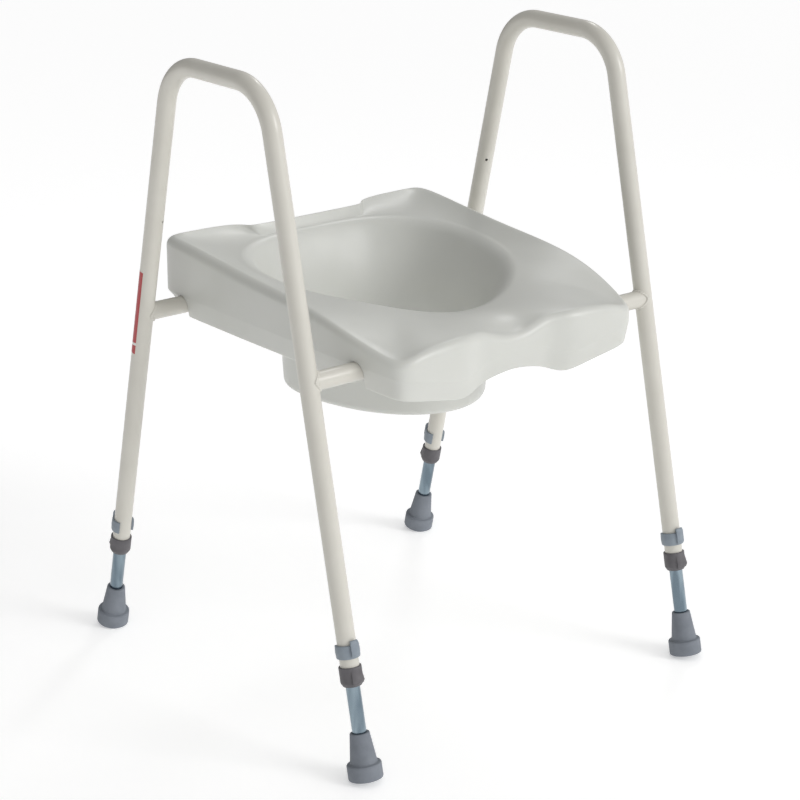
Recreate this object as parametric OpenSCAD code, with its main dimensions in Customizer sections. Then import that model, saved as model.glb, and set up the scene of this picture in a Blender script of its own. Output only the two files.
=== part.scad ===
// Toilet safety frame: two splayed inverted-U side frames, joined by two cross tubes
// that carry a lift-off moulded seat with a splash guard. Four telescopic legs with
// spring clips set the height. Origin: on the floor under the middle of the frame.
// X runs from the sitter's right hand to their left, Y from front to rear, Z up.

/* [Frame] */
// Distance between the centre lines of the left and right side frames
frame_w = 513; // [505:1:560]
// Height of the centre line of the top rails above the floor
rail_z = 758.5; // [740:0.5:790]
// Half distance between a front and a rear leg, measured at floor level
leg_y = 265.1; // [262:0.1:275]
// Lean of each leg towards the middle, from vertical
splay = 12.95; // [11:0.05:14]
// Outside diameter of the side frame tube
tube_d = 22; // [20:0.5:24]
// Wall of the side frame tube and of the cross tubes
tube_wall = 1.5; // [1.2:0.1:1.8]
// Radius of the centre line of the four top bends
bend_r = 62; // [45:1:75]
// Outside diameter of the cross tubes under the seat
cross_d = 21.5; // [19:0.5:21.5]
// Height of the cross tubes above the floor
cross_z = 445; // [440:1:450]

/* [Legs] */
// Outside diameter of the inner, telescopic tube
inner_d = 16.5; // [15:0.1:16.6]
// Wall of the inner tube
inner_wall = 1.2; // [1:0.1:1.6]
// Distance between neighbouring height holes
hole_pitch = 25; // [20:1:30]
// Number of height holes in each leg
hole_count = 6; // [4:1:7]
// Distance along the leg from the sole to the clip pin at the lowest height
pin_s = 151; // [148:1:156]
// Diameter of the clip's pin
pin_d = 5.6; // [4:0.2:6]
// Height of the rubber ferrule along the leg
ferrule_h = 54; // [48:1:58]
// Diameter of the ferrule's base
sole_d = 40; // [36:1:44]

/* [Seat] */
// Rise of the seat's top between the aperture and the outer edge
crown = 3; // [0:0.5:6]
// Radius of the seat's outer top edge
edge_r = 11; // [8:0.5:12]
// Radius of the lip round the aperture
lip_r = 26; // [18:1:28]
// Lowest level of the splash guard
guard_z = 342; // [325:1:380]
// Gap between a cross tube and its groove in the seat
groove_gap = 0.5; // [0.3:0.1:1]

/* [Hidden] */
$fn = 48;

ivory = [0.87, 0.865, 0.82];
seat_white = [0.86, 0.86, 0.84];
zinc = [0.60, 0.68, 0.74];
rubber_grey = [0.44, 0.45, 0.48];
collar_grey = [0.35, 0.34, 0.36];
clip_grey = [0.52, 0.56, 0.60];

lean = tan(splay);
// Height of the sole's centre, so that a small flat of the tilted sole lies on the floor
sole_flat = 1.2;
sole_z = sole_d / 2 * sin(splay) - sole_flat;
// Distance along the leg axis from the sole up to height z
function along(z) = (z - sole_z) / cos(splay);
// Half distance between front and rear leg axes at height z
function leg_at(z) = leg_y - z * lean;

tube_r = tube_d / 2;
bore_r = tube_r - tube_wall;
cross_y = leg_at(cross_z);
// Tangent length of a top bend, which turns through 90 - splay degrees
bend_t = bend_r * tan((90 - splay) / 2);
// Lower end of the fixed tube, inside the collar
tube_end_s = 112;
leg_len = along(rail_z) - bend_t - tube_end_s;
// Half length of the straight top rail
rail_half = leg_at(rail_z) - bend_t;

// Leg fittings, as distances along the leg from the sole
washer_s = 10.5;
washer_t = 1.5;
inner_s = washer_s + washer_t;
inner_top_s = 325;
collar_s = [109, 132];
clip_s = [142, 157.5];
pad_s = [144, 163];
vent_z = 566;
vent_d = 3.5;
vent_a = 30;
run_gap = 0.05;
clip_r = tube_r + 0.1;

// ---------------------------------------------------------------- placing

// Children are drawn along +Z from the sole centre of the front left leg, with the outer
// side facing -Y, and mirrored for the other legs
module at_leg(right, rear)
    mirror([right ? 1 : 0, 0, 0]) mirror([0, rear ? 1 : 0, 0])
        translate([-frame_w / 2, -leg_at(sole_z), sole_z]) rotate([-splay, 0, 0]) children();

module ring(r_out, r_in, s0, s1)
    rotate_extrude() polygon([[r_in, s0], [r_out, s0], [r_out, s1], [r_in, s1]]);

// ---------------------------------------------------------------- side frames

// Straight tube along +Z
module tube(h) {
    difference() {
        cylinder(r = tube_r, h = h);
        translate([0, 0, -1]) cylinder(r = bore_r, h = h + 2);
    }
}

// A leg of a side frame with its pin hole. A rear leg also has a vent hole for the powder
// coating, on its front and turned toward the middle of the product.
module frame_leg(rear)
    at_leg(false, rear) difference() {
        translate([0, 0, tube_end_s]) tube(leg_len);
        translate([0, 0, pin_s]) rotate([90, 0, 0]) cylinder(d = pin_d + 0.6, h = tube_d);
        if (rear) translate([0, 0, along(vent_z)]) rotate([0, 0, -vent_a]) rotate([-90, 0, 0])
            cylinder(d = vent_d, h = tube_d);
    }

// Bend from the top rail down to the rear leg
module top_bend()
    translate([-frame_w / 2, rail_half, rail_z - bend_r]) rotate([0, -90, 0])
        rotate_extrude(angle = 90 - splay) translate([bend_r, 0]) difference() {
            circle(r = tube_r);
            circle(r = bore_r);
        }

module top_arch() {
    top_bend();
    mirror([0, 1, 0]) top_bend();
    translate([-frame_w / 2, -rail_half, rail_z]) rotate([-90, 0, 0]) tube(2 * rail_half);
}

module side_frame(right)
    color(ivory) mirror([right ? 1 : 0, 0, 0]) {
        top_arch();
        frame_leg(false);
        frame_leg(true);
    }

// ---------------------------------------------------------------- cross tubes

module leg_body(right, rear)
    at_leg(right, rear) translate([0, 0, along(cross_z) - 60]) cylinder(r = tube_r, h = 120);

module cross_tube(rear)
    color(ivory) difference() {
        translate([-frame_w / 2, rear ? cross_y : -cross_y, cross_z]) rotate([0, 90, 0])
            difference() {
                cylinder(d = cross_d, h = frame_w);
                translate([0, 0, -1]) cylinder(d = cross_d - 2 * tube_wall, h = frame_w + 2);
            }
        leg_body(false, rear);
        leg_body(true, rear);
    }

// Fillet of weld round each end of each cross tube
module weld_beads()
    color(ivory) for (right = [false, true], rear = [false, true]) difference() {
        mirror([right ? 1 : 0, 0, 0])
            translate([-frame_w / 2, rear ? cross_y : -cross_y, cross_z]) rotate([0, 90, 0])
                rotate_extrude() polygon([
                    [cross_d / 2, 2], [cross_d / 2 + 2.4, 2], [cross_d / 2 + 1.6, tube_r + 1.5],
                    [cross_d / 2 + 0.7, tube_r + 3], [cross_d / 2, tube_r + 3.6]]);
        leg_body(right, rear);
    }

// ---------------------------------------------------------------- seat

// Right half of the seat's outer edge, from the middle of the rear to the middle of the
// front, as control points of a smooth curve: x, y, height of the top edge, height of the
// bottom edge, and how far the lower wall draws in.
seat_edge = [
    [0, 187, 521, 432, 14], [45, 187, 521, 432, 14], [84, 187, 521, 432, 15],
    [94, 190, 521, 432, 20], [99, 199, 521, 432, 32], [114, 204, 522, 432, 38],
    [144, 204, 523, 431, 40], [176, 204, 523, 431, 40], [203, 204, 523, 431, 38],
    [204, 175, 522, 431, 7], [204, 150, 520, 431, 3], [204, 118, 517, 431, 3],
    [204, 68, 512, 431, 3], [204, 20, 508, 431, 3], [203, -30, 505, 431, 4],
    [202, -76, 501, 430, 5], [199, -116, 495, 429, 6], [196, -148, 487, 428, 6],
    [190, -180, 478, 426, 6], [184, -203, 471, 423, 6], [176, -225, 465, 420, 4],
    [150, -227, 474, 415, 6], [118, -227, 477, 409, 8], [90, -226, 478, 403, 8],
    [76, -224, 477, 403, 8], [62, -219, 476, 407, 6], [50, -216, 475, 412, 5],
    [36, -216, 471, 416, 4], [20, -216, 465, 419, 3], [0, -216, 463, 421, 3]];
// Middle of the aperture, and the slope off upright where its wall meets the lip
seat_y = 45;
join_a = 35;
// Radius at angle t of a rounded egg with half widths a, front and rear lengths and powers
function egg(t, a, front, rear, p_front, p_rear) =
    let (b = sin(t) < 0 ? front : rear, p = sin(t) < 0 ? p_front : p_rear)
        pow(pow(abs(cos(t)) / a, p) + pow(abs(sin(t)) / b, p), -1 / p);
function aperture_r(t) = egg(t, 139, 162, 113, 2, 2.6);
function guard_r(t) = egg(t, 116, 163, 94, 2, 2.2);
// Height of the top where it meets the aperture's lip, falling away towards the front
function rim_z(y) = 497 + 0.075 * y - 0.0027 * pow(max(0, -45 - y), 2);

half_count = len(seat_edge);
seat_loop = concat(seat_edge, [for (i = [half_count - 2:-1:1])
    let (p = seat_edge[i]) [-p[0], p[1], p[2], p[3], p[4]]]);
// Point of a closed uniform cubic B-spline, at place u on the control loop q
function spline(q, u) =
    let (n = len(q), i = floor(u), f = u - i, a = q[(i + n - 1) % n], b = q[i % n],
         c = q[(i + 1) % n], d = q[(i + 2) % n])
        (a * pow(1 - f, 3) + b * (3 * pow(f, 3) - 6 * f * f + 4)
         + c * (-3 * pow(f, 3) + 3 * f * f + 3 * f + 1) + d * pow(f, 3)) / 6;

function mix(a, b, f) = a + (b - a) * f;
// Point at f from 0 to 1 on the curve from a to c that heads for b
function bend(a, b, c, f) = a * pow(1 - f, 2) + b * 2 * f * (1 - f) + c * f * f;
// Radius of the aperture's lip, smaller at the rear where the top is narrow
function lip_at(t) = lip_r - 14 * pow(max(0, sin(t)), 4);

// Section of the seat at edge point e, as [distance from the aperture's middle, height],
// from the inner wall over the lip, top, side and underside to the splash guard
function outer_section(e) =
    let (t = atan2(e[1] - seat_y, e[0]), ra = aperture_r(t), rg = guard_r(t),
         ro = norm([e[0], e[1] - seat_y]), zr = rim_z(seat_y + ra * sin(t)), zt = e[2],
         zb = e[3], draw = e[4], knee = zb + 25, lip = lip_at(t),
         join = [ra + lip * (1 - cos(join_a)), zr - lip + lip * sin(join_a)],
         waist = [rg - 8, join[1] - (join[0] - rg + 8) / tan(join_a)])
    concat(
        [for (f = [0.3, 0.55, 0.78]) bend([rg - 15, guard_z + 8], waist, join, f)],
        [for (a = [join_a:11:90]) [ra + lip * (1 - cos(a)), zr - lip + lip * sin(a)]],
        [for (f = [0.25, 0.5, 0.75])
            [mix(ra + lip, ro - edge_r, f), mix(zr, zt, f * f) + crown * 2.4 * f * (1 - f)]],
        [for (a = [90:-22.5:0]) [ro - edge_r + edge_r * cos(a), zt - edge_r + edge_r * sin(a)]],
        [[ro, knee + 1.5], [mix(ro, ro - draw, 0.06), knee - 1.5],
         [mix(ro, ro - draw, 0.93), zb + 2], [ro - draw - 2.5, zb], [rg + 8, zb + 1],
         [rg + 4.7, zb - 3], [rg, guard_z + 8], [rg - 2.4, guard_z + 2.4], [rg - 7.5, guard_z],
         [rg - 12.6, guard_z + 2.4], [rg - 15, guard_z + 8]]);

// Closed ring of sections: each edge point gives one section in its own upright plane
module section_ring(edge) {
    rings = [for (e = edge) let (t = atan2(e[1] - seat_y, e[0]))
        [for (q = outer_section(e)) [q[0] * cos(t), seat_y + q[0] * sin(t), q[1]]]];
    n = len(rings);
    m = len(rings[0]);
    polyhedron(
        points = [for (r = rings, p = r) p],
        faces = [for (i = [0:n - 1], j = [0:m - 1])
            let (i2 = (i + 1) % n, j2 = (j + 1) % m, a = i * m + j, b = i2 * m + j,
                 c = i2 * m + j2, d = i * m + j2)
                for (f = [[a, c, b], [a, d, c]]) f],
        convexity = 8);
}

// Slot for a cross tube: a round top and straight sides, open below
module groove(rear) {
    r = cross_d / 2 + groove_gap;
    translate([-frame_w / 2, rear ? cross_y : -cross_y, cross_z]) rotate([0, 90, 0])
        cylinder(r = r, h = frame_w);
    translate([-frame_w / 2, (rear ? cross_y : -cross_y) - r, cross_z - 60])
        cube([frame_w, 2 * r, 60]);
}

outer_edge = [for (i = [0:len(seat_loop) * 2 - 1]) spline(seat_loop, i / 2)];

module seat()
    color(seat_white) difference() {
        section_ring(outer_edge);
        for (rear = [false, true]) groove(rear);
    }

// ---------------------------------------------------------------- leg fittings

module extension_tube(right, rear)
    color(zinc) at_leg(right, rear) difference() {
        ring(inner_d / 2, inner_d / 2 - inner_wall, inner_s, inner_top_s);
        for (i = [0:hole_count - 1]) translate([0, 0, pin_s + i * hole_pitch])
            rotate([90, 0, 0]) cylinder(d = pin_d + 0.6, h = tube_d);
    }

module guide_plug(right, rear) {
    r = inner_d / 2 - inner_wall;
    color(collar_grey) at_leg(right, rear) rotate_extrude() polygon([
        [0, inner_top_s - 20], [r - 0.8, inner_top_s - 20], [r, inner_top_s - 19],
        [r, inner_top_s], [bore_r - run_gap, inner_top_s], [bore_r - run_gap, inner_top_s + 9],
        [bore_r - 1.2, inner_top_s + 11], [0, inner_top_s + 11]]);
}

module ferrule_washer(right, rear)
    color(zinc) at_leg(right, rear) ring(inner_d / 2, 3.5, washer_s, inner_s);

module ferrule(right, rear) {
    r = sole_d / 2;
    color(rubber_grey) difference() {
        at_leg(right, rear) difference() {
            rotate_extrude() polygon([
                [0, 0], [r - 2, 0], [r - 0.6, 0.6], [r, 2], [r, 16], [r - 0.7, 17.8],
                [r - 2.4, 18.5], [15.9, 18.7], [15.4, 20], [11.4, ferrule_h - 0.8],
                [10.7, ferrule_h], [0, ferrule_h]]);
            translate([0, 0, washer_s]) cylinder(d = inner_d, h = ferrule_h);
            for (groove_r = [5, 10.5]) ring(groove_r + 2, groove_r, -1, 1.6);
        }
        translate([-frame_w, -frame_w, -50]) cube([2 * frame_w, 2 * frame_w, 50]);
    }
}

module end_collar(right, rear) {
    lip_r1 = inner_d / 2 + run_gap;
    color(collar_grey) at_leg(right, rear) difference() {
        union() {
            rotate_extrude() polygon([
                [lip_r1, collar_s[0]], [10.4, collar_s[0]], [12.3, collar_s[0] + 2],
                [13.1, collar_s[0] + 5], [13.1, collar_s[1] - 0.8], [12.5, collar_s[1]],
                [lip_r1, collar_s[1]]]);
            // Wedge on the outer side, thickest near its lower end
            rotate([0, 0, -122]) rotate_extrude(angle = 64) polygon([
                [12, collar_s[0] + 2.5], [14.2, collar_s[0] + 4], [15.7, collar_s[0] + 7],
                [13.1, collar_s[1] - 3], [12, collar_s[1] - 3]]);
        }
        translate([0, 0, tube_end_s]) cylinder(r = tube_r, h = 40);
    }
}

module spring_clip(right, rear)
    color(clip_grey) at_leg(right, rear) {
        // Arms of the ring, open on the inner side
        rotate([0, 0, 142]) rotate_extrude(angle = 256) polygon([
            [clip_r, clip_s[0]], [13.2, clip_s[0]], [13.8, clip_s[0] + 1.2],
            [14.1, clip_s[0] + 7.5], [13.8, clip_s[1] - 1.2], [13.2, clip_s[1]],
            [clip_r, clip_s[1]]]);
        // Thumb pad over the pin
        rotate([0, 0, -110]) rotate_extrude(angle = 40) polygon([
            [12.4, pad_s[0]], [15.6, pad_s[0]], [16.4, pad_s[0] + 1.5],
            [16.4, pad_s[1] - 3], [15.4, pad_s[1]], [13.2, pad_s[1]], [12.4, pad_s[1] - 4]]);
        translate([0, -4, pin_s]) rotate([90, 0, 0]) cylinder(d = pin_d, h = 8.6);
    }

// ---------------------------------------------------------------- nodes

side_frame(false);  // side_frame_left
side_frame(true);  // side_frame_right
cross_tube(false);  // cross_tube_front
cross_tube(true);  // cross_tube_rear
weld_beads();
seat();
extension_tube(false, false);  // extension_tube_front_left
extension_tube(true, false);  // extension_tube_front_right
extension_tube(false, true);  // extension_tube_rear_left
extension_tube(true, true);  // extension_tube_rear_right
ferrule(false, false);  // ferrule_front_left
ferrule(true, false);  // ferrule_front_right
ferrule(false, true);  // ferrule_rear_left
ferrule(true, true);  // ferrule_rear_right
ferrule_washer(false, false);  // ferrule_washer_front_left
ferrule_washer(true, false);  // ferrule_washer_front_right
ferrule_washer(false, true);  // ferrule_washer_rear_left
ferrule_washer(true, true);  // ferrule_washer_rear_right
guide_plug(false, false);  // guide_plug_front_left
guide_plug(true, false);  // guide_plug_front_right
guide_plug(false, true);  // guide_plug_rear_left
guide_plug(true, true);  // guide_plug_rear_right
end_collar(false, false);  // end_collar_front_left
end_collar(true, false);  // end_collar_front_right
end_collar(false, true);  // end_collar_rear_left
end_collar(true, true);  // end_collar_rear_right
spring_clip(false, false);  // spring_clip_front_left
spring_clip(true, false);  // spring_clip_front_right
spring_clip(false, true);  // spring_clip_rear_left
spring_clip(true, true);  // spring_clip_rear_right
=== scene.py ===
"""Looks of the toilet safety frame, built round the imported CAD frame.

Shapes are worked out in millimetres in the CAD frame (X to the sitter's left, Y to the rear,
Z up, origin on the floor) and turned into metres where a mesh is made.
"""
import math

import bmesh
import bpy
import numpy as np
from mathutils import Matrix, Vector

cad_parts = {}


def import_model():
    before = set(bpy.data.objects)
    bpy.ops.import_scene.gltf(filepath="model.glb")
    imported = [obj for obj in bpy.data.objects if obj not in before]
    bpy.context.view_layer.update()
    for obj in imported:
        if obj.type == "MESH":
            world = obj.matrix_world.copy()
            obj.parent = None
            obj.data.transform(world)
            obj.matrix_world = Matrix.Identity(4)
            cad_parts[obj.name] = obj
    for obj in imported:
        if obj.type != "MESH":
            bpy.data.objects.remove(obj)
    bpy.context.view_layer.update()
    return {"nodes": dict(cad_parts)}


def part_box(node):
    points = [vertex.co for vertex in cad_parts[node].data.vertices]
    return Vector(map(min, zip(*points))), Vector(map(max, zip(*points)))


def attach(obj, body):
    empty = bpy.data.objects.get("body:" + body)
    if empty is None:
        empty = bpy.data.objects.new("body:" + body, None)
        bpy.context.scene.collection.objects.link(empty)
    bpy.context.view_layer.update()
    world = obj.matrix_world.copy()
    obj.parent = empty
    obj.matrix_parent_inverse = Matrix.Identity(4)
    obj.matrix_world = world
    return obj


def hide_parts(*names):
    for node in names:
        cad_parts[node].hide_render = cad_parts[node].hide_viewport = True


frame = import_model()

MM = 0.001

# ------------------------------------------------------------------ sizes, in millimetres

frame_low, frame_high = (Vector(v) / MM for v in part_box("side_frame_left"))
TUBE_R = (frame_high.x - frame_low.x) / 2
TUBE_WALL = 1.5
BORE_R = TUBE_R - TUBE_WALL
SIDE_X = -(frame_high.x + frame_low.x) / 2
RAIL_Z = frame_high.z - TUBE_R
SPLAY = math.radians(12.95)
LEG_Y = 265.1
BEND_R = 62.0
CROSS_R = 10.75
CROSS_Z = 445.0

# Along a leg, all measured from its sole
SOLE_R = 20.0
SOLE_FLAT = 1.2
SOLE_Z = SOLE_R * math.sin(SPLAY) - SOLE_FLAT
INNER_R = 8.25
INNER_WALL = 1.2
INNER_BORE_R = INNER_R - INNER_WALL
INNER_FROM, INNER_TO = 12.0, 325.0
TUBE_END = 112.0
COLLAR = (109.0, 132.0)
CLIP = (142.0, 157.5)
CLIP_R = TUBE_R + 0.1
PAD_TOP = 163.0
PIN_S = 151.0
PIN_R = 2.8
HOLE_R = PIN_R + 0.3
HOLE_PITCH = 25.0
HOLE_COUNT = 6
FERRULE_H = 54.0
VENT_Z = 566.0
VENT_R = 1.75
VENT_TURN = math.radians(30)

LEGS = [("front_left", -1, -1), ("front_right", 1, -1), ("rear_left", -1, 1), ("rear_right", 1, 1)]


def leg_at(z):
    """Half distance between the front and rear leg axes at height z."""
    return LEG_Y - z * math.tan(SPLAY)


def along(z):
    """Distance along a leg axis from the sole up to height z."""
    return (z - SOLE_Z) / math.cos(SPLAY)


def leg_matrix(side, end):
    """From the leg's own frame (+Z up the leg from the sole, outer side to -Y) to the CAD frame."""
    placed = Matrix.Translation((-SIDE_X, -leg_at(SOLE_Z), SOLE_Z)) @ Matrix.Rotation(-SPLAY, 4, "X")
    mirror = Matrix.Diagonal((1 if side < 0 else -1, 1 if end < 0 else -1, 1, 1))
    return mirror @ placed


# ------------------------------------------------------------------ mesh helpers

def add_piece(name, verts, faces, matrix=None, smooth_angle=35):
    """Mesh object from points in millimetres, with outward normals and smooth shading."""
    mesh = bpy.data.meshes.new(name)
    place = Matrix.Scale(MM, 4) @ (matrix or Matrix.Identity(4))
    mesh.from_pydata([tuple(place @ Vector(v)) for v in verts], [], faces)
    obj = bpy.data.objects.new(name, mesh)
    bpy.context.scene.collection.objects.link(obj)
    tidy_normals(obj, smooth_angle)
    return obj


def tidy_normals(obj, smooth_angle=35):
    """Merges doubled points, turns the faces outward and shades smooth below the angle."""
    bm = bmesh.new()
    bm.from_mesh(obj.data)
    bmesh.ops.remove_doubles(bm, verts=bm.verts, dist=1e-6)
    bmesh.ops.recalc_face_normals(bm, faces=bm.faces)
    bm.to_mesh(obj.data)
    bm.free()
    obj.data.shade_smooth()
    obj.data.set_sharp_from_angle(angle=math.radians(smooth_angle))


def apply_modifiers(obj):
    """Makes the result of the object's modifiers its mesh."""
    bpy.context.view_layer.update()
    graph = bpy.context.evaluated_depsgraph_get()
    made = bpy.data.meshes.new_from_object(obj.evaluated_get(graph))
    old = obj.data
    obj.modifiers.clear()
    obj.data = made
    bpy.data.meshes.remove(old)


def bevel(obj, width, segments, angle):
    """Rounds the edges sharper than angle by width millimetres."""
    mod = obj.modifiers.new("bevel", "BEVEL")
    mod.width = width * MM
    mod.segments = segments
    mod.limit_method = "ANGLE"
    mod.angle_limit = math.radians(angle)
    apply_modifiers(obj)
    tidy_normals(obj)


def boolean(obj, tools, operation="DIFFERENCE", smooth_angle=35):
    """Cuts or joins the tool objects, which are then deleted."""
    for tool in tools:
        mod = obj.modifiers.new("cut", "BOOLEAN")
        mod.operation = operation
        mod.solver = "EXACT"
        mod.object = tool
    apply_modifiers(obj)
    for tool in tools:
        bpy.data.objects.remove(tool)
    tidy_normals(obj, smooth_angle)


def grid_faces(rows, cols, close_rows=True):
    """Quads of a grid of points numbered row by row, each row a closed loop."""
    faces = []
    for i in range(rows if close_rows else rows - 1):
        for j in range(cols):
            i2, j2 = (i + 1) % rows, (j + 1) % cols
            faces.append((i * cols + j, i2 * cols + j, i2 * cols + j2, i * cols + j2))
    return faces


def rounded(corners, segments=5):
    """Closed outline from corners (r, z, fillet radius), each corner turned into an arc."""
    out = []
    count = len(corners)
    for k in range(count):
        p = Vector(corners[k][:2])
        before = Vector(corners[k - 1][:2]) - p
        after = Vector(corners[(k + 1) % count][:2]) - p
        radius = corners[k][2] if len(corners[k]) > 2 else 0
        if radius <= 0:
            out.append(tuple(p))
            continue
        half = before.angle(after) / 2
        reach = min(radius / math.tan(half), 0.49 * before.length, 0.49 * after.length)
        start, stop = p + before.normalized() * reach, p + after.normalized() * reach
        for s in range(segments + 1):
            f = s / segments
            out.append(tuple(start * (1 - f) ** 2 + p * 2 * f * (1 - f) + stop * f ** 2))
    return out


def lathe(profile, start=0.0, angle=360.0, steps=72):
    """Closed outline of (r, z) points turned about Z, with flat ends where it isn't a full turn."""
    full = angle >= 360
    rows = steps if full else steps + 1
    verts = []
    for i in range(rows):
        a = math.radians(start + angle * i / steps)
        verts += [(r * math.cos(a), r * math.sin(a), z) for r, z in profile]
    faces = grid_faces(rows, len(profile), close_rows=full)
    if not full:
        n = len(profile)
        faces.append(tuple(range(n)))
        faces.append(tuple(range(len(verts) - n, len(verts))))
    return verts, faces


def rod(radius, start, stop, matrix=None, sides=32):
    """Plain cylinder between two points, to cut a piece with or to join to it."""
    a, b = Vector(start), Vector(stop)
    length = (b - a).length
    turn = (b - a).to_track_quat("Z", "Y").to_matrix().to_4x4()
    place = (matrix or Matrix.Identity(4)) @ Matrix.Translation(a) @ turn
    verts, faces = lathe([(0.0, 0.0), (radius, 0.0), (radius, length), (0.0, length)], steps=sides)
    return add_piece("tool", verts, faces, place)


def box_mesh(low, high):
    """Corners and faces of a box, to cut a piece with."""
    verts = [(x, y, z) for x in (low[0], high[0]) for y in (low[1], high[1]) for z in (low[2], high[2])]
    return verts, [(0, 1, 3, 2), (4, 6, 7, 5), (0, 4, 5, 1), (2, 3, 7, 6), (0, 2, 6, 4), (1, 5, 7, 3)]


def finish_piece(obj, material, body, slot, *nodes):
    """Gives the piece its material and its body, and hides the CAD nodes it replaces. The slot argument
    is not used.
    """
    obj.data.materials.clear()
    obj.data.materials.append(material)
    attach(obj, body)
    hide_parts(*nodes)


# ------------------------------------------------------------------ materials

class Nodes:
    """Short hand for building one node material."""

    def __init__(self, name):
        self.material = bpy.data.materials.new(name)
        self.material.use_nodes = True
        self.tree = self.material.node_tree
        self.shader = self.tree.nodes["Principled BSDF"]
        self.place = self.add("ShaderNodeTexCoord").outputs["Object"]

    def add(self, kind, **values):
        node = self.tree.nodes.new(kind)
        for key, value in values.items():
            if key.startswith("in_"):
                node.inputs[key[3:].replace("_", " ")].default_value = value
            else:
                setattr(node, key, value)
        return node

    def link(self, out, into):
        self.tree.links.new(out, into)

    def mapped(self, scale):
        node = self.add("ShaderNodeMapping")
        node.inputs["Scale"].default_value = scale
        self.link(self.place, node.inputs["Vector"])
        return node.outputs["Vector"]

    def noise(self, scale, detail=3.0, roughness=0.5, stretch=(1, 1, 1)):
        node = self.add("ShaderNodeTexNoise", in_Scale=scale, in_Detail=detail, in_Roughness=roughness)
        self.link(self.mapped(stretch), node.inputs["Vector"])
        return node.outputs["Fac"]

    def ramp(self, fac, low, high, values):
        """Maps a 0 to 1 value between low and high onto a pair of numbers or colours."""
        node = self.add("ShaderNodeValToRGB")
        node.color_ramp.elements[0].position, node.color_ramp.elements[1].position = low, high
        for element, value in zip(node.color_ramp.elements, values):
            element.color = (*value, 1.0) if isinstance(value, tuple) else (value, value, value, 1.0)
        self.link(fac, node.inputs["Fac"])
        return node.outputs["Color"]

    def bump(self, height, distance_mm, strength=1.0, under=None):
        node = self.add("ShaderNodeBump", in_Strength=strength, in_Distance=distance_mm * MM)
        self.link(height, node.inputs["Height"])
        if under is not None:
            self.link(under, node.inputs["Normal"])
        return node.outputs["Normal"]

    def set(self, **values):
        for key, value in values.items():
            self.shader.inputs[key.replace("_", " ")].default_value = value

    def wire(self, **outputs):
        for key, out in outputs.items():
            self.link(out, self.shader.inputs[key.replace("_", " ")])


def powder_coat():
    """Satin ivory powder coat with its slight orange peel."""
    m = Nodes("powder_coat_ivory")
    tone = m.noise(22, 4)
    m.wire(Base_Color=m.ramp(tone, 0.3, 0.75, ((0.590, 0.572, 0.515), (0.625, 0.608, 0.552))))
    m.wire(Roughness=m.ramp(m.noise(60, 3), 0.3, 0.7, (0.30, 0.38)))
    peel = m.bump(m.noise(520, 2, 0.4), 0.05, 0.35)
    m.wire(Normal=m.bump(m.noise(2600, 1, 0.3), 0.01, 0.25, peel))
    m.set(Specular_IOR_Level=0.5, Coat_Weight=0.25, Coat_Roughness=0.18)
    return m.material


def seat_plastic():
    """Satin white polyethylene, slightly see-through, with a blow-moulded surface."""
    m = Nodes("seat_polyethylene")
    tone = m.noise(9, 4)
    m.wire(Base_Color=m.ramp(tone, 0.3, 0.75, ((0.585, 0.592, 0.556), (0.620, 0.625, 0.592))))
    m.wire(Roughness=m.ramp(m.noise(34, 5), 0.3, 0.7, (0.33, 0.43)))
    waves = m.bump(m.noise(26, 2, 0.4), 0.2, 0.25)
    grain = m.bump(m.noise(900, 3, 0.55), 0.03, 0.35, waves)
    m.wire(Normal=grain)
    m.set(Subsurface_Weight=0.22, Subsurface_Radius=(1.0, 0.95, 0.85), Subsurface_Scale=0.006,
          Specular_IOR_Level=0.5, Coat_Weight=0.05, Coat_Roughness=0.2)
    return m.material


def zinc_plate():
    """Zinc plate with a blue passivation, painted reflection streaks as light and dark colour bands
    along the tube, and drawing marks in its roughness and bump.
    """
    m = Nodes("zinc_blue")
    painted_reflection_bands = m.noise(70, 2, 0.5, (1, 1, 0.02))
    # Light and dark bands in the base colour along the tube are painted reflection streaks.
    m.wire(Base_Color=m.ramp(painted_reflection_bands, 0.4, 0.6, ((0.16, 0.21, 0.25), (0.28, 0.35, 0.40))))
    streaks = m.noise(700, 2, 0.5, (1, 1, 0.03))
    m.wire(Roughness=m.ramp(streaks, 0.3, 0.7, (0.14, 0.24)))
    m.wire(Normal=m.bump(streaks, 0.02, 0.3))
    m.set(Metallic=1.0)
    return m.material


def rubber():
    """Grey moulded rubber, slightly uneven in tone, with a fine matt grain."""
    m = Nodes("ferrule_rubber_grey")
    tone = m.noise(55, 5, 0.6)
    m.wire(Base_Color=m.ramp(tone, 0.3, 0.75, ((0.170, 0.188, 0.216), (0.215, 0.235, 0.266))))
    m.wire(Roughness=m.ramp(m.noise(150, 3), 0.3, 0.7, (0.55, 0.72)))
    m.wire(Normal=m.bump(m.noise(1400, 4, 0.6), 0.05, 0.45))
    m.set(Specular_IOR_Level=0.35)
    return m.material


def moulded(name, dark, light, roughness, grain_mm):
    """Small injection-moulded parts: fine spark-eroded texture and a little tone variation."""
    m = Nodes(name)
    m.wire(Base_Color=m.ramp(m.noise(80, 3), 0.3, 0.7, (dark, light)))
    m.wire(Roughness=m.ramp(m.noise(220, 3), 0.3, 0.7, (roughness - 0.06, roughness + 0.06)))
    m.wire(Normal=m.bump(m.noise(1800, 3, 0.6), grain_mm, 0.4))
    m.set(Specular_IOR_Level=0.4)
    return m.material


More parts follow.
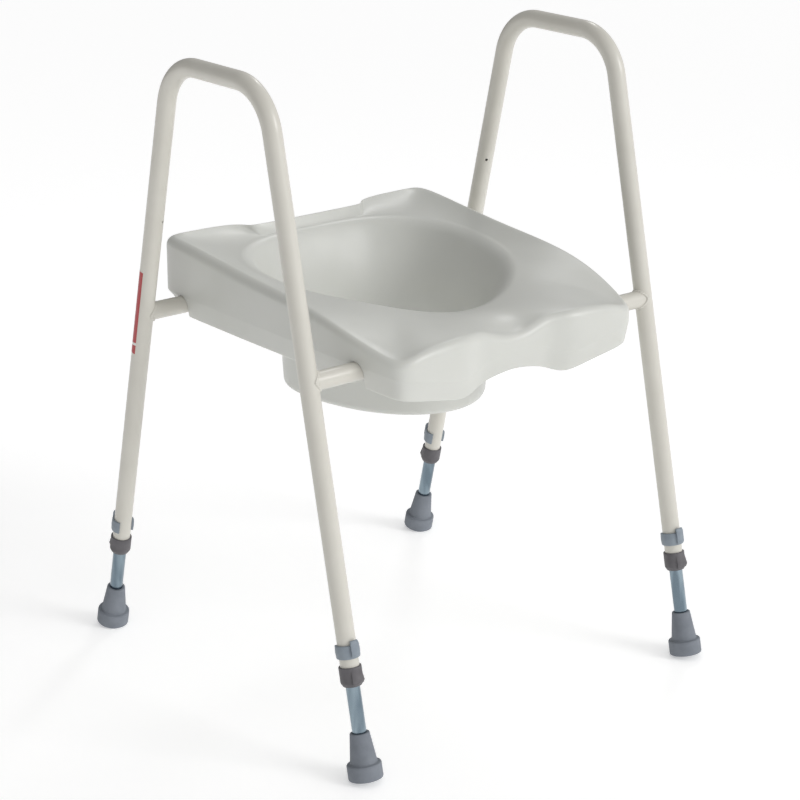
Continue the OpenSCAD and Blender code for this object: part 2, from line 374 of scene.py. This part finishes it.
def sticker(low, high):
    """Plain white label with a broad red band, its colour set by height. Low and high are metres."""
    m = Nodes("sticker_red_band")
    split = m.add("ShaderNodeSeparateXYZ")
    m.link(m.place, split.inputs["Vector"])
    height = m.add("ShaderNodeMapRange", in_From_Min=low, in_From_Max=high)
    m.link(split.outputs["Z"], height.inputs["Value"])
    band = m.add("ShaderNodeValToRGB")
    band.color_ramp.interpolation = "CONSTANT"
    red, white = (0.42, 0.045, 0.05, 1), (0.72, 0.70, 0.68, 1)
    band.color_ramp.elements[0].color = red
    band.color_ramp.elements[1].position = 0.96
    band.color_ramp.elements[1].color = red
    for position, colour in ((0.10, white), (0.13, red)):
        band.color_ramp.elements.new(position).color = colour
    m.link(height.outputs["Result"], band.inputs["Fac"])
    m.wire(Base_Color=band.outputs["Color"])
    m.wire(Roughness=m.ramp(m.noise(300, 2), 0.3, 0.7, (0.35, 0.45)))
    m.wire(Normal=m.bump(m.noise(500, 2), 0.02, 0.3))
    return m.material


IVORY = powder_coat()
SEAT = seat_plastic()
ZINC = zinc_plate()
RUBBER = rubber()
COLLAR_PLASTIC = moulded("collar_dark_grey", (0.098, 0.093, 0.100), (0.130, 0.124, 0.133), 0.52, 0.03)
CLIP_PLASTIC = moulded("clip_blue_grey", (0.205, 0.240, 0.280), (0.250, 0.290, 0.330), 0.44, 0.02)

# ------------------------------------------------------------------ side frames

def frame_path():
    """Points (y, z) and tangents down the middle of one side frame, front leg to rear leg."""
    bend_t = BEND_R * math.tan((math.pi / 2 - SPLAY) / 2)
    rail_half = leg_at(RAIL_Z) - bend_t
    foot = leg_matrix(-1, -1) @ Vector((0, 0, TUBE_END))
    up = Vector((math.sin(SPLAY), math.cos(SPLAY)))
    bottom = Vector((foot.y, foot.z))
    length = along(RAIL_Z) - bend_t - TUBE_END
    half = [(bottom + up * length * k / 16, up) for k in range(16)]
    bends = 28
    centre = Vector((-rail_half, RAIL_Z - BEND_R))
    for k in range(bends + 1):
        a = (math.pi / 2 - SPLAY) * (1 - k / bends)
        spoke = Vector((-math.sin(a), math.cos(a)))
        half.append((centre + BEND_R * spoke, Vector((math.cos(a), math.sin(a)))))
    half.append((Vector((0, RAIL_Z)), Vector((1, 0))))
    back = [(Vector((-p.x, p.y)), Vector((t.x, -t.y))) for p, t in reversed(half[:-1])]
    return half + back


def side_frame(side):
    """Bent tube of one side, with a pin hole in each leg and a vent hole in the rear one."""
    name = "left" if side < 0 else "right"
    path = frame_path()
    sides = 64
    rings = []
    for radius, order in ((TUBE_R, path), (BORE_R, path[::-1])):
        for p, t in order:
            normal = Vector((-t.y, t.x))
            rings.append([(side * SIDE_X + radius * math.cos(a), p.x + normal.x * radius * math.sin(a),
                           p.y + normal.y * radius * math.sin(a))
                          for a in (2 * math.pi * k / sides for k in range(sides))])
    obj = add_piece("frame_tube_" + name, [v for ring in rings for v in ring],
                    grid_faces(len(rings), sides))
    holes = []
    for end in (-1, 1):
        holes.append(rod(HOLE_R, (0, 0, PIN_S), (0, -2 * TUBE_R, PIN_S), leg_matrix(side, end)))
    foot = Vector((0, 0, along(VENT_Z)))
    vent = Vector((math.sin(VENT_TURN), math.cos(VENT_TURN), 0)) * 2 * TUBE_R
    holes.append(rod(VENT_R, foot, foot + vent, leg_matrix(side, 1)))
    boolean(obj, holes)
    finish_piece(obj, IVORY, "frame", "powder_coat", "side_frame_" + name)


for which in (-1, 1):
    side_frame(which)

# ------------------------------------------------------------------ cross tubes and welds

def cross_tube(end):
    """Tube along X, its ends cut to fit round the legs."""
    name = "front" if end < 0 else "rear"
    y = end * leg_at(CROSS_Z)
    bore = CROSS_R - TUBE_WALL
    stop = SIDE_X - 3
    verts, faces = lathe([(bore, -stop), (CROSS_R, -stop), (CROSS_R, stop), (bore, stop)], steps=64)
    turn = Matrix.Translation((0, y, CROSS_Z)) @ Matrix.Rotation(math.pi / 2, 4, "Y")
    obj = add_piece("cross_bar_" + name, verts, faces, turn)
    reach = along(CROSS_Z)
    boolean(obj, [rod(TUBE_R, (0, 0, reach - 60), (0, 0, reach + 60), leg_matrix(side, end), 64)
                  for side in (-1, 1)])
    finish_piece(obj, IVORY, "frame", "powder_coat", "cross_tube_" + name)


def weld_bead(side, end):
    """Rippled bead that follows the seam between a cross tube and a leg."""
    turns, ring = 150, 14
    centre = Vector((side * SIDE_X, end * leg_at(CROSS_Z), CROSS_Z))
    lean = end * SPLAY
    verts = []
    for i in range(turns):
        a = 2 * math.pi * i / turns
        dy, dz = math.cos(a), math.sin(a)
        radius = CROSS_R + 0.2
        across = radius * (dy * math.cos(lean) + dz * math.sin(lean))
        depth = math.sqrt(max((TUBE_R + 0.2) ** 2 - across ** 2, 0))
        seam = centre + Vector((-side * depth, dy * radius, dz * radius))
        outward = Vector((0, dy, dz))
        inward = Vector((-side, 0, 0))
        ripple = 1 + 0.10 * math.sin(a * 26) + 0.06 * math.sin(a * 7 + side + end)
        for j in range(ring):
            b = 2 * math.pi * j / ring
            size = 1.9 * ripple
            spread = inward * (math.cos(b) * size * 1.25) + outward * (math.sin(b) * size * 0.85)
            verts.append(tuple(seam + spread))
    return verts, grid_faces(turns, ring)


for which in (-1, 1):
    cross_tube(which)
welds, weld_faces = [], []
for _, side, end in LEGS:
    verts, faces = weld_bead(side, end)
    weld_faces += [tuple(i + len(welds) for i in face) for face in faces]
    welds += verts
finish_piece(add_piece("weld_seams", welds, weld_faces, smooth_angle=60), IVORY, "frame", "powder_coat",
             "weld_beads")

# ------------------------------------------------------------------ seat

# Right half of the seat's outer edge, rear middle to front middle, as in the CAD part:
# x, y, height of the top edge, height of the bottom edge, draw of the lower wall
SEAT_EDGE = [
    (0, 187, 521, 432, 14), (45, 187, 521, 432, 14), (84, 187, 521, 432, 15),
    (94, 190, 521, 432, 20), (99, 199, 521, 432, 32), (114, 204, 522, 432, 38),
    (144, 204, 523, 431, 40), (176, 204, 523, 431, 40), (203, 204, 523, 431, 38),
    (204, 175, 522, 431, 7), (204, 150, 520, 431, 3), (204, 118, 517, 431, 3),
    (204, 68, 512, 431, 3), (204, 20, 508, 431, 3), (203, -30, 505, 431, 4),
    (202, -76, 501, 430, 5), (199, -116, 495, 429, 6), (196, -148, 487, 428, 6),
    (190, -180, 478, 426, 6), (184, -203, 471, 423, 6), (176, -225, 465, 420, 4),
    (150, -227, 474, 415, 6), (118, -227, 477, 409, 8), (90, -226, 478, 403, 8),
    (76, -224, 477, 403, 8), (62, -219, 476, 407, 6), (50, -216, 475, 412, 5),
    (36, -216, 471, 416, 4), (20, -216, 465, 419, 3), (0, -216, 463, 421, 3)]
SEAT_Y = 45.0
# Half width, reach to the front and the rear, and roundness at the front and the rear
APERTURE = (139, 162, 113, 2.0, 2.6)
GUARD = (116, 163, 94, 2.0, 2.2)
GUARD_WALL = 15
GUARD_Z = 342.0
LIP_R = 26.0
REAR_LIP_LESS = 14
JOIN_A = math.radians(35)
CROWN = 3.0
EDGE_R = 11.0
KNEE_UP = 25
GROOVE_GAP = 0.5
GROOVE_REACH = 240
GROOVE_DEEP = 80


def egg(t, a, front, rear, p_front, p_rear):
    """Radius at angle t of a rounded egg."""
    b, p = (front, p_front) if math.sin(t) < 0 else (rear, p_rear)
    return ((abs(math.cos(t)) / a) ** p + (abs(math.sin(t)) / b) ** p) ** (-1 / p)


def spline(loop, u):
    """Point of a closed uniform cubic B-spline at place u."""
    n, i = len(loop), math.floor(u)
    f = u - i
    a, b, c, d = (loop[(i + k) % n] for k in (-1, 0, 1, 2))
    weights = ((1 - f) ** 3, 3 * f ** 3 - 6 * f * f + 4, -3 * f ** 3 + 3 * f * f + 3 * f + 1, f ** 3)
    return sum(w * p for w, p in zip(weights, (a, b, c, d))) / 6


def mix(a, b, f):
    """Value at f from 0 to 1 on the way from a to b."""
    return a + (b - a) * f


def rim_z(y):
    """Height of the aperture's rim, which rises to the rear and drops away at the front."""
    return 497 + 0.075 * y - 0.0027 * max(0, -45 - y) ** 2


def seat_section(e):
    """Section of the seat at edge point e: (distance from the aperture's middle, height)."""
    x, y, top, bottom, draw = e
    t = math.atan2(y - SEAT_Y, x)
    ra = egg(t, *APERTURE)
    rg = egg(t, *GUARD)
    ro = math.hypot(x, y - SEAT_Y)
    zr = rim_z(SEAT_Y + ra * math.sin(t))
    lip = LIP_R - REAR_LIP_LESS * max(0, math.sin(t)) ** 4
    knee = bottom + KNEE_UP
    out = []
    high = (ra + lip * (1 - math.cos(JOIN_A)), zr - lip + lip * math.sin(JOIN_A))
    low = (rg - GUARD_WALL, GUARD_Z + 8)
    waist = (rg - 8, high[1] - (high[0] - rg + 8) / math.tan(JOIN_A))
    for k in range(12):
        f = k / 12
        out.append(tuple(low[i] * (1 - f) ** 2 + waist[i] * 2 * f * (1 - f) + high[i] * f * f
                         for i in (0, 1)))
    for k in range(11):
        a = mix(JOIN_A, math.pi / 2, k / 10)
        out.append((ra + lip * (1 - math.cos(a)), zr - lip + lip * math.sin(a)))
    for k in range(1, 12):
        f = k / 12
        z = mix(zr, top, f * f) + CROWN * 2.4 * f * (1 - f)
        out.append((mix(ra + lip, ro - EDGE_R, f), z))
    for k in range(9):
        a = math.pi / 2 * (1 - k / 8)
        out.append((ro - EDGE_R + EDGE_R * math.cos(a), top - EDGE_R + EDGE_R * math.sin(a)))
    out += [(ro, mix(top - EDGE_R, knee, f)) for f in (0.35, 0.7)]
    wall = [(ro, mix(top, knee, 0.8)), (ro, knee, 4), (ro - draw, bottom, 3),
            (rg + 5, bottom + 1, 5), (rg, GUARD_Z + 9)]
    out += rounded(wall)[1:-1]
    half_wall = GUARD_WALL / 2
    for k in range(13):
        a = math.pi * k / 12
        out.append((rg - half_wall + half_wall * math.cos(a), GUARD_Z + 8 - 8 * math.sin(a)))
    return out[:-1]


def seat():
    """One closed ring of sections, with a groove underneath for each cross tube."""
    loop = [np.array(p, float) for p in SEAT_EDGE]
    loop += [p * np.array([-1, 1, 1, 1, 1]) for p in loop[-2:0:-1]]
    steps = 8
    sections = []
    for k in range(len(loop) * steps):
        e = spline(loop, k / steps)
        t = math.atan2(e[1] - SEAT_Y, e[0])
        sections.append([(r * math.cos(t), SEAT_Y + r * math.sin(t), z) for r, z in seat_section(e)])
    verts = [v for s in sections for v in s]
    obj = add_piece("seat_moulding", verts, grid_faces(len(sections), len(sections[0])))
    grooves = []
    r = CROSS_R + GROOVE_GAP
    for end in (-1, 1):
        y = end * leg_at(CROSS_Z)
        outline = [(y + r, CROSS_Z - GROOVE_DEEP), (y + r, CROSS_Z)]
        outline += [(y + r * math.cos(a), CROSS_Z + r * math.sin(a))
                    for a in (math.pi * k / 24 for k in range(1, 24))]
        outline += [(y - r, CROSS_Z), (y - r, CROSS_Z - GROOVE_DEEP)]
        ends = [[(x, *p) for p in outline] for x in (-GROOVE_REACH, GROOVE_REACH)]
        n = len(outline)
        faces = grid_faces(2, n, close_rows=False) + [tuple(range(n)), tuple(range(n, 2 * n))]
        grooves.append(add_piece("tool", ends[0] + ends[1], faces))
    boolean(obj, grooves, smooth_angle=32)
    finish_piece(obj, SEAT, "seat_body", "seat_plastic", "seat")


seat()

# ------------------------------------------------------------------ leg fittings

def extension_tube(name, side, end):
    """Inner leg tube with its row of height holes."""
    place = leg_matrix(side, end)
    profile = rounded([(INNER_BORE_R, INNER_FROM, 0.3), (INNER_R, INNER_FROM, 0.3),
                       (INNER_R, INNER_TO, 0.4), (INNER_BORE_R, INNER_TO, 0.3)], 2)
    obj = add_piece("inner_leg_" + name, *lathe(profile, steps=56), place)
    heights = [PIN_S + k * HOLE_PITCH for k in range(HOLE_COUNT)]
    boolean(obj, [rod(HOLE_R, (0, 0, s), (0, -2 * TUBE_R, s), place) for s in heights])
    finish_piece(obj, ZINC, "leg_" + name, "zinc_steel", "extension_tube_" + name)


def ferrule(name, side, end):
    """Rubber foot: tapered socket on a thick base ring, with ring grooves in the sole."""
    place = leg_matrix(side, end)
    profile = rounded([
        (0, 1.6), (5, 1.6, 0.4), (5, 0, 0.4), (7, 0, 0.4), (7, 1.6, 0.4), (10.5, 1.6, 0.4),
        (10.5, 0, 0.4), (12.5, 0, 0.4), (12.5, 1.6, 0.4), (15, 1.6, 0.4), (15, 0, 0.4),
        (SOLE_R, 0, 2.0), (SOLE_R, 18.5, 2.2), (15.7, 18.7, 1.2), (11.25, FERRULE_H, 1.1),
        (INNER_R, FERRULE_H, 0.5), (INNER_R, 10.5, 0), (0, 10.5)], 4)
    obj = add_piece("foot_" + name, *lathe(profile, steps=80), place)
    floor_cut = add_piece("tool", *box_mesh((-400, -400, -60), (400, 400, 0)))
    boolean(obj, [floor_cut])
    finish_piece(obj, RUBBER, "leg_" + name, "ferrule_rubber", "ferrule_" + name)


def end_collar(name, side, end):
    """Collar on the end of the outer tube, with a thicker wedge on its outer side."""
    place = leg_matrix(side, end)
    low, high = COLLAR
    profile = rounded([
        (INNER_R + 0.05, low, 0.3), (10.6, low, 1.2), (13.1, low + 4.5, 2.5), (13.1, high, 1.0),
        (TUBE_R, high, 0.3), (TUBE_R, TUBE_END), (INNER_R + 0.05, TUBE_END)], 4)
    obj = add_piece("collar_" + name, *lathe(profile, steps=80), place)
    wedge_outline = rounded([
        (12, low + 2.5, 0.4), (14.0, low + 3.5, 1.2), (15.7, low + 7, 1.2), (13.0, high - 2.5, 0.8),
        (12, high - 2.5, 0.3)], 4)
    wedge = add_piece("tool", *lathe(wedge_outline, -122, 64, 24), place)
    boolean(obj, [wedge], "UNION")
    bevel(obj, 0.5, 2, 50)
    finish_piece(obj, COLLAR_PLASTIC, "frame", "collar_plastic", "end_collar_" + name)


def spring_clip(name, side, end):
    """Open spring ring, a thumb pad standing above it, and the pin that goes through the tube."""
    place = leg_matrix(side, end)
    low, high = CLIP
    ring = rounded([(CLIP_R, low, 0.4), (13.6, low, 1.0), (14.1, (low + high) / 2, 3), (13.6, high, 1.0),
                    (CLIP_R, high, 0.4)], 4)
    obj = add_piece("clip_" + name, *lathe(ring, 142, 256, 72), place)
    pad_outline = rounded([
        (12.4, low + 2, 0.5), (15.6, low + 2, 1.0), (16.4, low + 4, 2), (16.4, PAD_TOP - 3, 2),
        (15.2, PAD_TOP, 1.0), (13.2, PAD_TOP, 0.6), (12.4, PAD_TOP - 4, 1)], 4)
    pad = add_piece("tool", *lathe(pad_outline, -110, 40, 20), place)
    bevel(pad, 0.8, 3, 60)
    pin = rod(PIN_R, (0, -4, PIN_S), (0, -12.6, PIN_S), place)
    boolean(obj, [pad, pin], "UNION")
    finish_piece(obj, CLIP_PLASTIC, "clip_" + name, "clip_plastic", "spring_clip_" + name)


for leg in LEGS:
    extension_tube(*leg)
    ferrule(*leg)
    end_collar(*leg)
    spring_clip(*leg)

# Pieces hidden inside the legs keep their CAD shape and get their finish
for leg_name, _, _ in LEGS:
    for node, material in (("guide_plug_", COLLAR_PLASTIC), ("ferrule_washer_", ZINC)):
        mesh = frame["nodes"][node + leg_name].data
        for index in range(len(mesh.materials)):
            mesh.materials[index] = material

# ------------------------------------------------------------------ sticker

STICKER_Z = (393.0, 500.0)
STICKER_FROM, STICKER_TURN = -197, 142


def rear_sticker():
    """Thin label bent round the outer side of the rear left leg."""
    place = leg_matrix(-1, 1)
    low, high = along(STICKER_Z[0]), along(STICKER_Z[1])
    under, over = TUBE_R - 0.05, TUBE_R + 0.12
    skin = [(under, low), (over, low), (over, high), (under, high)]
    obj = add_piece("leg_sticker", *lathe(skin, STICKER_FROM, STICKER_TURN, 48), place)
    finish_piece(obj, sticker(STICKER_Z[0] * MM, STICKER_Z[1] * MM), "frame", "powder_coat")


rear_sticker()

# ------------------------------------------------------------------ floor, light, camera

def floor_material():
    """Pale matt sheet that glows a little, as a light table does."""
    m = Nodes("floor_pale")
    pale = (0.9, 0.9, 0.9)
    m.wire(Base_Color=m.ramp(m.noise(3, 2), 0.3, 0.7, (pale, pale)))
    m.set(Roughness=0.7, Emission_Color=(1, 1, 1, 1), Emission_Strength=0.36)
    return m.material


def floor():
    """Square floor, just under the feet."""
    size = 9.0
    mesh = bpy.data.meshes.new("floor")
    corners = [(-size, -size, 0), (size, -size, 0), (size, size, 0), (-size, size, 0)]
    mesh.from_pydata(corners, [], [(0, 1, 2, 3)])
    obj = bpy.data.objects.new("floor", mesh)
    obj.location.z = -0.0005
    bpy.context.scene.collection.objects.link(obj)
    obj.data.materials.append(floor_material())


def area_light(name, location, target, size, power):
    """Rectangular light aimed at the target, in metres and watts."""
    data = bpy.data.lights.new(name, "AREA")
    data.shape = "RECTANGLE"
    data.size, data.size_y = size
    data.energy = power
    obj = bpy.data.objects.new(name, data)
    obj.location = location
    obj.rotation_euler = (Vector(target) - Vector(location)).to_track_quat("-Z", "Y").to_euler()
    bpy.context.scene.collection.objects.link(obj)


def sun(name, direction, angle, strength):
    """Soft far light that shines along the direction, its width an angle in degrees."""
    data = bpy.data.lights.new(name, "SUN")
    data.angle = math.radians(angle)
    data.energy = strength
    obj = bpy.data.objects.new(name, data)
    obj.rotation_euler = Vector(direction).to_track_quat("-Z", "Y").to_euler()
    bpy.context.scene.collection.objects.link(obj)


def world():
    """Studio surroundings: brightest in front of the object, dim behind it."""
    w = bpy.data.worlds.new("studio")
    bpy.context.scene.world = w
    w.use_nodes = True
    tree = w.node_tree
    place = tree.nodes.new("ShaderNodeTexCoord")
    toward = tree.nodes.new("ShaderNodeVectorMath")
    toward.operation = "DOT_PRODUCT"
    toward.inputs[1].default_value = Vector((0.40, -0.90, 0.15)).normalized()
    tree.links.new(place.outputs["Generated"], toward.inputs[0])
    shade = tree.nodes.new("ShaderNodeMapRange")
    for key, value in (("From Min", -1), ("From Max", 1), ("To Min", 0.17), ("To Max", 0.88)):
        shade.inputs[key].default_value = value
    tree.links.new(toward.outputs["Value"], shade.inputs["Value"])
    background = tree.nodes["Background"]
    background.inputs["Color"].default_value = (1.0, 1.0, 1.0, 1)
    tree.links.new(shade.outputs["Result"], background.inputs["Strength"])


def camera():
    """Front left of the object, a little above it, with a long lens."""
    data = bpy.data.cameras.new("camera")
    data.sensor_width = 36
    data.lens = 101.07
    obj = bpy.data.objects.new("camera", data)
    yaw, pitch, roll = 0.6857, 0.3429, 0.0064
    level = Vector((math.sin(yaw), math.cos(yaw), 0))
    ahead = level * math.cos(pitch) - Vector((0, 0, math.sin(pitch)))
    right = Vector((math.cos(yaw), -math.sin(yaw), 0))
    up = right.cross(ahead)
    tilted_right = right * math.cos(roll) + up * math.sin(roll)
    tilted_up = up * math.cos(roll) - right * math.sin(roll)
    axes = Matrix((tilted_right, tilted_up, -ahead)).transposed()
    obj.matrix_world = Matrix.Translation((-1.6427, -2.0145, 1.2511)) @ axes.to_4x4()
    bpy.context.scene.collection.objects.link(obj)
    bpy.context.scene.camera = obj


floor()
world()
sun("key", (-0.40, 0.75, -0.42), 25, 1.0)
area_light("overhead", (1.3, 0.9, 2.1), (0, 0.05, 0.5), (0.25, 0.6), 4)
camera()
bpy.context.scene.view_settings.view_transform = "Standard"
